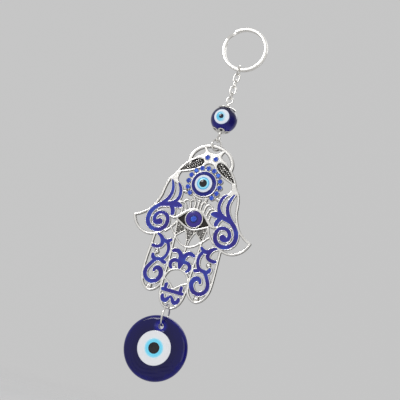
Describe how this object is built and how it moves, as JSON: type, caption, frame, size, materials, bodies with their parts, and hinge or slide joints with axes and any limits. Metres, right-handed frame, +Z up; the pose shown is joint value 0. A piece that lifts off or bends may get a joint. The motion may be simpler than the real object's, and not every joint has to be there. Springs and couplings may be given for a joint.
{
  "type": "evil eye hanging ornament",
  "caption": "Hanging evil eye ornament: key ring and chain, capped glass bead, openwork hamsa with blue enamel, stones and a cabochon eye, and a glass nazar disc below",
  "frame": {"origin": "the top of the key ring's hole, where a hook carries the ornament", "axes": "+Z up along the hanging line, -Y toward the viewer who sees the hamsa's enamelled face, +X to that viewer's right"},
  "size_m": [0.0744, 0.016, 0.2198],
  "materials": {
    "silver_plate": "bright silver plate over a cast or drawn metal, a little worn",
    "blue_enamel": "glossy violet-blue enamel",
    "blue_stone": "faceted foiled glass",
    "cobalt_glass": "deep cobalt glass, polished",
    "navy_glass": "very dark blue glass, fire polished",
    "white_glass": "opaque white glass",
    "light_blue_glass": "opaque light blue glass",
    "black_glass": "black glass"
  },
  "bodies": {
    "key_ring": {"key_ring": "silver_plate"},
    "end_ring": {"end_ring": "silver_plate"},
    "chain_link_1": {"chain_link_1": "silver_plate"},
    "chain_link_2": {"chain_link_2": "silver_plate"},
    "chain_link_3": {"chain_link_3": "silver_plate"},
    "top_ring": {"top_ring": "silver_plate"},
    "eye_pin": {"eye_pin": "silver_plate"},
    "bead": {"bead_glass": "cobalt_glass", "bead_eye_white": "white_glass", "bead_eye_blue": "light_blue_glass", "bead_eye_pupil": "black_glass", "bead_cap_top": "silver_plate", "bead_cap_low": "silver_plate"},
    "hand_ring": {"hand_ring": "silver_plate"},
    "hamsa": {"hamsa_casting": "silver_plate", "enamel_scroll_left": "blue_enamel", "enamel_scroll_right": "blue_enamel", "enamel_finger_left": "blue_enamel", "enamel_finger_right": "blue_enamel", "enamel_flower": "blue_enamel", "enamel_cup": "blue_enamel", "enamel_wave": "blue_enamel", "enamel_iris": "blue_enamel", "halo_stone_01": "blue_stone", "halo_stone_02": "blue_stone", "halo_stone_03": "blue_stone", "halo_stone_04": "blue_stone", "halo_stone_05": "blue_stone", "halo_stone_06": "blue_stone", "halo_stone_07": "blue_stone", "halo_stone_08": "blue_stone", "halo_stone_09": "blue_stone", "halo_stone_10": "blue_stone", "halo_stone_11": "blue_stone", "halo_stone_12": "blue_stone", "halo_stone_13": "blue_stone", "head_stone_left": "blue_stone", "head_stone_right": "blue_stone", "iris_stone": "blue_stone", "cabochon_glass": "cobalt_glass", "cabochon_eye_white": "white_glass", "cabochon_eye_blue": "light_blue_glass", "cabochon_eye_pupil": "black_glass"},
    "disc_ring": {"disc_ring": "silver_plate"},
    "disc": {"disc_glass": "navy_glass", "disc_eye_white": "white_glass", "disc_eye_blue": "light_blue_glass", "disc_eye_pupil": "black_glass"}
  },
  "joints": [
    {"name": "end_ring_swing", "type": "hinge", "parent": "key_ring", "child": "end_ring", "pos_m": [0, 0, -0.02495], "axis": [1, 0, 0], "range_deg": [-60, 60]},
    {"name": "chain_link_1_swing", "type": "hinge", "parent": "end_ring", "child": "chain_link_1", "pos_m": [0, 0, -0.0287], "axis": [0, 1, 0], "range_deg": [-35, 35]},
    {"name": "chain_link_2_swing", "type": "hinge", "parent": "chain_link_1", "child": "chain_link_2", "pos_m": [0, 0, -0.0328], "axis": [1, 0, 0], "range_deg": [-35, 35]},
    {"name": "chain_link_3_swing", "type": "hinge", "parent": "chain_link_2", "child": "chain_link_3", "pos_m": [0, 0, -0.03685], "axis": [0, 1, 0], "range_deg": [-35, 35]},
    {"name": "top_ring_swing", "type": "hinge", "parent": "chain_link_3", "child": "top_ring", "pos_m": [0, 0, -0.0409], "axis": [1, 0, 0], "range_deg": [-35, 35]},
    {"name": "eye_pin_swing", "type": "hinge", "parent": "top_ring", "child": "eye_pin", "pos_m": [0, 0, -0.0441], "axis": [0, 1, 0], "range_deg": [-35, 35]},
    {"name": "bead_spin", "type": "hinge", "parent": "eye_pin", "child": "bead", "pos_m": [0, 0, -0.05721], "axis": [0, 0, 1], "continuous": true},
    {"name": "hand_ring_swing", "type": "hinge", "parent": "eye_pin", "child": "hand_ring", "pos_m": [0, 0, -0.07142], "axis": [-0.7071, 0.7071, 0], "range_deg": [-35, 35]},
    {"name": "hamsa_swing", "type": "hinge", "parent": "hand_ring", "child": "hamsa", "pos_m": [0, 0, -0.07447], "axis": [1, 0, 0], "range_deg": [-40, 40]},
    {"name": "disc_ring_swing", "type": "hinge", "parent": "hamsa", "child": "disc_ring", "pos_m": [0, 0, -0.17437], "axis": [1, 0, 0], "range_deg": [-50, 50]},
    {"name": "disc_swing", "type": "hinge", "parent": "disc_ring", "child": "disc", "pos_m": [0, 0, -0.18506], "axis": [0, 1, 0], "range_deg": [-45, 45]}
  ]
}
